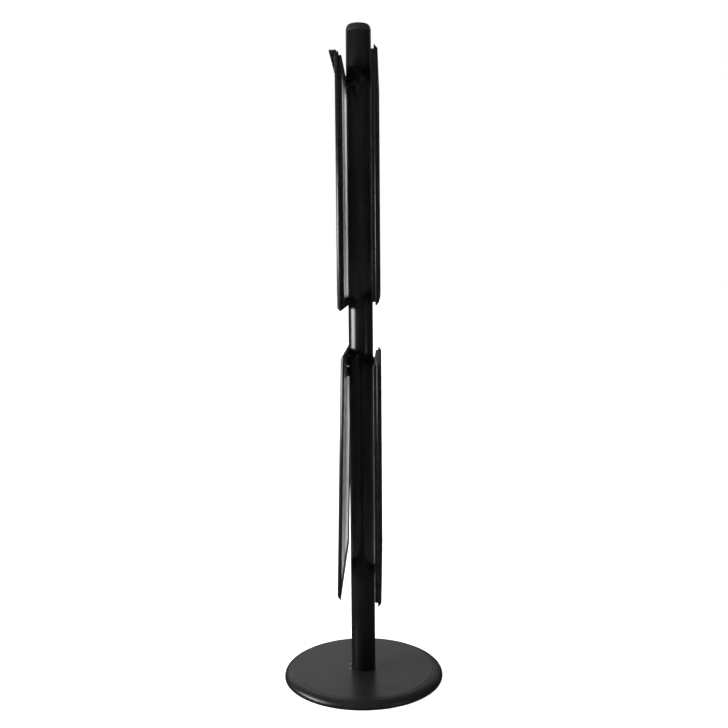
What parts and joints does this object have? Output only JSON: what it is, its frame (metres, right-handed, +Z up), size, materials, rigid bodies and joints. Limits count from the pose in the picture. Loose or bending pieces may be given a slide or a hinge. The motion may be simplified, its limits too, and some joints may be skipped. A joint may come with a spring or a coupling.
{
  "type": "poster sign stand",
  "caption": "Free-standing sign stand with a round weighted base, a round post and snap-open poster frames on both sides.",
  "frame": {"origin": "centre of the base footprint, on the floor", "axes": "+Z up the post, X across the poster frames, front frames face -Y and back frames face +Y"},
  "size_m": [0.594, 0.53, 2.126],
  "materials": {
    "base_coat": "satin black powder coat on spun sheet, fine orange peel",
    "post_coat": "satin black powder coat on round tube",
    "black_anodised": "black anodised extrusion, satin, bare metal at the worn edges",
    "tray_sheet": "light grey-white plastic sheet, satin",
    "cap_plastic": "moulded dark grey cap, fine texture",
    "panel_white": "white polystyrene sheet",
    "poster_paper": "blank white paper insert",
    "clear_plastic": "clear anti-glare sheet",
    "black_rubber": "matt black rubber",
    "zinc_steel": "bright zinc plated steel",
    "spring_steel": "bare spring steel",
    "raw_steel_plate": "mill scale steel plate"
  },
  "bodies": {
    "stand": {"base_cover": "base_coat", "base_weight": "raw_steel_plate", "base_edge_trim": "black_rubber", "base_pads": "black_rubber", "base_bolt": "zinc_steel", "base_washer": "zinc_steel", "foot_screws": "zinc_steel", "post_spigot": "raw_steel_plate", "post_lower_tube": "post_coat", "post_upper_tube": "post_coat", "post_coupler": "raw_steel_plate", "coupler_screws": "zinc_steel", "post_weld_nuts": "zinc_steel", "post_cap": "cap_plastic", "tray_saddles": "black_rubber", "tray_screws": "zinc_steel", "front_lower_spacers": "black_rubber", "front_lower_screws": "zinc_steel", "front_lower_hanger_plates": "black_anodised", "corner_keys": "zinc_steel", "flap_springs": "spring_steel", "front_upper_rails": "black_anodised", "front_upper_back_panel": "panel_white", "front_upper_poster": "poster_paper", "front_upper_clear_cover": "clear_plastic", "front_upper_tray_rails": "black_anodised", "front_upper_tray_panel": "tray_sheet", "back_upper_rails": "black_anodised", "back_upper_back_panel": "panel_white", "back_upper_poster": "poster_paper", "back_upper_clear_cover": "clear_plastic", "back_upper_tray_rails": "black_anodised", "back_upper_tray_panel": "tray_sheet", "back_lower_rails": "black_anodised", "back_lower_back_panel": "panel_white", "back_lower_poster": "poster_paper", "back_lower_clear_cover": "clear_plastic", "back_lower_tray_rails": "black_anodised", "back_lower_tray_panel": "tray_sheet", "front_lower_rails": "black_anodised", "front_lower_back_panel": "panel_white", "front_lower_poster": "poster_paper", "front_lower_clear_cover": "clear_plastic"},
    "front_upper_flap_top": {"front_upper_flap_top": "black_anodised"},
    "front_upper_flap_bottom": {"front_upper_flap_bottom": "black_anodised"},
    "front_upper_flap_left": {"front_upper_flap_left": "black_anodised"},
    "front_upper_flap_right": {"front_upper_flap_right": "black_anodised"},
    "back_upper_flap_top": {"back_upper_flap_top": "black_anodised"},
    "back_upper_flap_bottom": {"back_upper_flap_bottom": "black_anodised"},
    "back_upper_flap_left": {"back_upper_flap_left": "black_anodised"},
    "back_upper_flap_right": {"back_upper_flap_right": "black_anodised"},
    "back_lower_flap_top": {"back_lower_flap_top": "black_anodised"},
    "back_lower_flap_bottom": {"back_lower_flap_bottom": "black_anodised"},
    "back_lower_flap_left": {"back_lower_flap_left": "black_anodised"},
    "back_lower_flap_right": {"back_lower_flap_right": "black_anodised"},
    "front_lower_flap_top": {"front_lower_flap_top": "black_anodised"},
    "front_lower_flap_bottom": {"front_lower_flap_bottom": "black_anodised"},
    "front_lower_flap_left": {"front_lower_flap_left": "black_anodised"},
    "front_lower_flap_right": {"front_lower_flap_right": "black_anodised"}
  },
  "joints": [
    {"name": "front_upper_strip_top_hinge", "type": "hinge", "parent": "stand", "child": "front_upper_flap_top", "pos_m": [0, -0.0527, 1.9707], "axis": [-1, 0, 0], "range_deg": [-104, 0]},
    {"name": "front_upper_strip_bottom_hinge", "type": "hinge", "parent": "stand", "child": "front_upper_flap_bottom", "pos_m": [0, -0.0527, 1.2363], "axis": [1, 0, 0], "range_deg": [0, 104]},
    {"name": "front_upper_strip_left_hinge", "type": "hinge", "parent": "stand", "child": "front_upper_flap_left", "pos_m": [-0.2932, -0.0527, 1.6035], "axis": [0, 0, -1], "range_deg": [0, 104]},
    {"name": "front_upper_strip_right_hinge", "type": "hinge", "parent": "stand", "child": "front_upper_flap_right", "pos_m": [0.2932, -0.0527, 1.6035], "axis": [0, 0, 1], "range_deg": [0, 104]},
    {"name": "back_upper_strip_top_hinge", "type": "hinge", "parent": "stand", "child": "back_upper_flap_top", "pos_m": [0, 0.0555, 1.9877], "axis": [1, 0, 0], "range_deg": [0, 104]},
    {"name": "back_upper_strip_bottom_hinge", "type": "hinge", "parent": "stand", "child": "back_upper_flap_bottom", "pos_m": [0, 0.0555, 1.2533], "axis": [-1, 0, 0], "range_deg": [0, 104]},
    {"name": "back_upper_strip_left_hinge", "type": "hinge", "parent": "stand", "child": "back_upper_flap_left", "pos_m": [0.2932, 0.0555, 1.6205], "axis": [0, 0, -1], "range_deg": [0, 104]},
    {"name": "back_upper_strip_right_hinge", "type": "hinge", "parent": "stand", "child": "back_upper_flap_right", "pos_m": [-0.2932, 0.0555, 1.6205], "axis": [0, 0, 1], "range_deg": [0, 104]},
    {"name": "back_lower_strip_top_hinge", "type": "hinge", "parent": "stand", "child": "back_lower_flap_top", "pos_m": [0, 0.057, 1.0792], "axis": [1, 0, 0], "range_deg": [0, 104]},
    {"name": "back_lower_strip_bottom_hinge", "type": "hinge", "parent": "stand", "child": "back_lower_flap_bottom", "pos_m": [0, 0.057, 0.3448], "axis": [-1, 0, 0], "range_deg": [0, 104]},
    {"name": "back_lower_strip_left_hinge", "type": "hinge", "parent": "stand", "child": "back_lower_flap_left", "pos_m": [0.2932, 0.057, 0.712], "axis": [0, 0, -1], "range_deg": [0, 104]},
    {"name": "back_lower_strip_right_hinge", "type": "hinge", "parent": "stand", "child": "back_lower_flap_right", "pos_m": [-0.2932, 0.057, 0.712], "axis": [0, 0, 1], "range_deg": [0, 104]},
    {"name": "front_lower_strip_top_hinge", "type": "hinge", "parent": "stand", "child": "front_lower_flap_top", "pos_m": [0, -0.04419, 1.09958], "axis": [-1, 0, 0], "range_deg": [0, 104]},
    {"name": "front_lower_strip_bottom_hinge", "type": "hinge", "parent": "stand", "child": "front_lower_flap_bottom", "pos_m": [0, -0.06162, 0.36539], "axis": [1, 0, 0], "range_deg": [0, 104]},
    {"name": "front_lower_strip_left_hinge", "type": "hinge", "parent": "stand", "child": "front_lower_flap_left", "pos_m": [-0.2932, -0.0529, 0.73249], "axis": [0, -0.0237, -0.9997], "range_deg": [0, 104]},
    {"name": "front_lower_strip_right_hinge", "type": "hinge", "parent": "stand", "child": "front_lower_flap_right", "pos_m": [0.2932, -0.0529, 0.73249], "axis": [0, 0.0237, 0.9997], "range_deg": [0, 104]}
  ]
}
